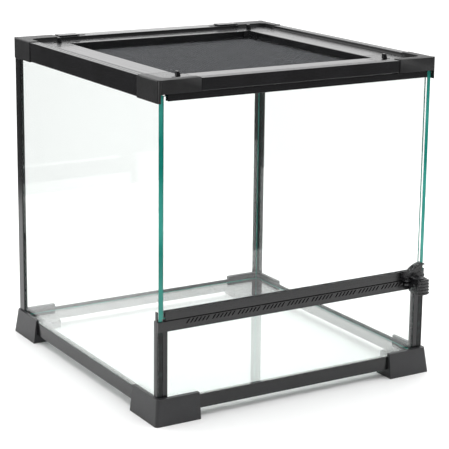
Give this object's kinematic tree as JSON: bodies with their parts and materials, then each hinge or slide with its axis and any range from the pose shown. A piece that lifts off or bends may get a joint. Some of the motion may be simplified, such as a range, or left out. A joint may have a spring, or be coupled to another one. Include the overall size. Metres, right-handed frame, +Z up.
{
  "type": "front-opening glass pet tank",
  "caption": "Square glass pet tank in a plastic frame, with a hinged glass front door, a vent rail and latch below it, and a lift-off mesh lid.",
  "frame": {"origin": "on the surface it stands on, under the middle of the whole tank's box, latch included", "axes": "+Z up, -Y towards the door, +X to the right of someone facing the door"},
  "size_m": [0.309, 0.3292, 0.3171],
  "materials": {
    "frame_plastic": "satin moulded charcoal black",
    "lid_plastic": "satin moulded charcoal black",
    "clear_glass": "clear float glass with a green edge",
    "mesh_steel": "woven wire, black coated",
    "pin_steel": "plain bright steel"
  },
  "bodies": {
    "cabinet": {"base_rail_front": "frame_plastic", "base_rail_rear": "frame_plastic", "base_rail_left": "frame_plastic", "base_rail_right": "frame_plastic", "foot_front_left": "frame_plastic", "foot_front_right": "frame_plastic", "foot_rear_left": "frame_plastic", "foot_rear_right": "frame_plastic", "floor_glass": "clear_glass", "side_glass_left": "clear_glass", "side_glass_right": "clear_glass", "rear_glass": "clear_glass", "front_lower_glass": "clear_glass", "rear_post_left": "frame_plastic", "rear_post_right": "frame_plastic", "front_post_left": "frame_plastic", "front_post_right": "frame_plastic", "front_trim_left": "frame_plastic", "front_trim_right": "frame_plastic", "vent_rail": "frame_plastic", "top_rail_front": "frame_plastic", "top_rail_rear": "frame_plastic", "top_rail_left": "frame_plastic", "top_rail_right": "frame_plastic", "top_corner_front_left": "frame_plastic", "top_corner_front_right": "frame_plastic", "top_corner_rear_left": "frame_plastic", "top_corner_rear_right": "frame_plastic"},
    "door": {"door_glass": "clear_glass", "door_top_channel": "frame_plastic", "door_bottom_channel": "frame_plastic", "door_grip": "frame_plastic", "hinge_pin_top": "pin_steel", "hinge_pin_bottom": "pin_steel", "latch_pin": "pin_steel", "latch_spring": "pin_steel"},
    "latch": {"latch_lever": "frame_plastic"},
    "lid": {"lid_bar_front": "lid_plastic", "lid_bar_rear": "lid_plastic", "lid_bar_left": "lid_plastic", "lid_bar_right": "lid_plastic", "lid_corner_front_left": "lid_plastic", "lid_corner_front_right": "lid_plastic", "lid_corner_rear_left": "lid_plastic", "lid_corner_rear_right": "lid_plastic", "lid_mesh": "mesh_steel"},
    "lock_front_left": {"lid_lock_front_left": "lid_plastic"},
    "lock_front_right": {"lid_lock_front_right": "lid_plastic"},
    "lock_rear_left": {"lid_lock_rear_left": "lid_plastic"},
    "lock_rear_right": {"lid_lock_rear_right": "lid_plastic"},
    "port_cover_left": {"cable_port_cover_left": "lid_plastic"},
    "port_cover_right": {"cable_port_cover_right": "lid_plastic"}
  },
  "joints": [
    {"name": "door_swing", "type": "hinge", "parent": "cabinet", "child": "door", "pos_m": [-0.136, -0.1429, 0.2], "axis": [0, 0, -1], "range_deg": [0, 110]},
    {"name": "latch_rock", "type": "hinge", "parent": "door", "child": "latch", "pos_m": [0.13545, -0.1549, 0.0935], "axis": [-1, 0, 0], "range_deg": [0, 10], "stiffness_Nm_per_rad": 0.01},
    {"name": "lid_lift", "type": "slide", "parent": "cabinet", "child": "lid", "axis": [0, 0, 1], "range_m": [0, 0.08]},
    {"name": "lock_front_left_slide", "type": "slide", "parent": "lid", "child": "lock_front_left", "axis": [-1, 0, 0], "range_m": [0, 0.0045]},
    {"name": "lock_front_right_slide", "type": "slide", "parent": "lid", "child": "lock_front_right", "axis": [1, 0, 0], "range_m": [0, 0.0045]},
    {"name": "lock_rear_left_slide", "type": "slide", "parent": "lid", "child": "lock_rear_left", "axis": [-1, 0, 0], "range_m": [0, 0.0045]},
    {"name": "lock_rear_right_slide", "type": "slide", "parent": "lid", "child": "lock_rear_right", "axis": [1, 0, 0], "range_m": [0, 0.0045]},
    {"name": "port_left_slide", "type": "slide", "parent": "cabinet", "child": "port_cover_left", "axis": [1, 0, 0], "range_m": [0, 0.0095]},
    {"name": "port_right_slide", "type": "slide", "parent": "cabinet", "child": "port_cover_right", "axis": [-1, 0, 0], "range_m": [0, 0.0095]}
  ]
}
